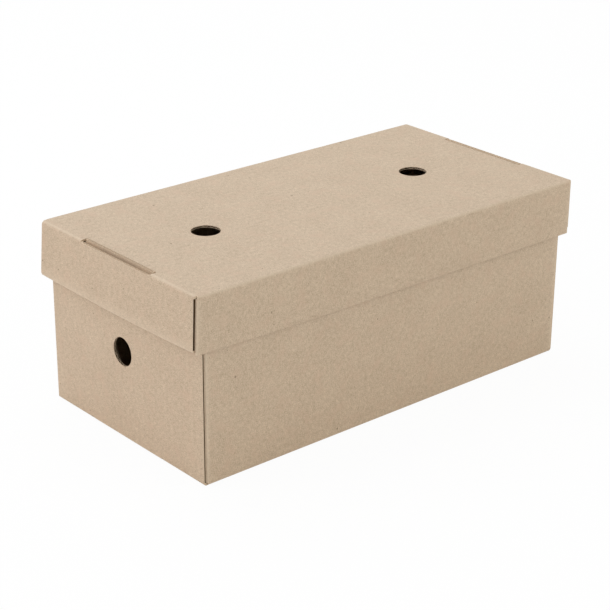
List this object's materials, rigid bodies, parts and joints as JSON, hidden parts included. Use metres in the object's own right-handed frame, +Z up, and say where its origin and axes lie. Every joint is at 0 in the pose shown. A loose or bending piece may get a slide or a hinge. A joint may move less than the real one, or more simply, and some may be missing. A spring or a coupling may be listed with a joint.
{
  "type": "lidded corrugated box",
  "caption": "Deep folding box of brown corrugated board with a lift-off lid, rolled ends locked by tabs in slots, and round finger and air holes.",
  "frame": {"origin": "centre of the tray's underside, on the surface that the box stands on", "axes": "+X along the box's length, +Y across it, +Z up, the way that the lid lifts"},
  "size_m": [0.3398, 0.1724, 0.1324],
  "materials": {
    "kraft_board": "matt brown recycled kraft liner"
  },
  "bodies": {
    "tray": {"tray": "kraft_board"},
    "lid": {"lid": "kraft_board"}
  },
  "joints": [
    {"name": "lid_lift", "type": "slide", "parent": "tray", "child": "lid", "axis": [0, 0, 1], "range_m": [0, 0.06]}
  ]
}
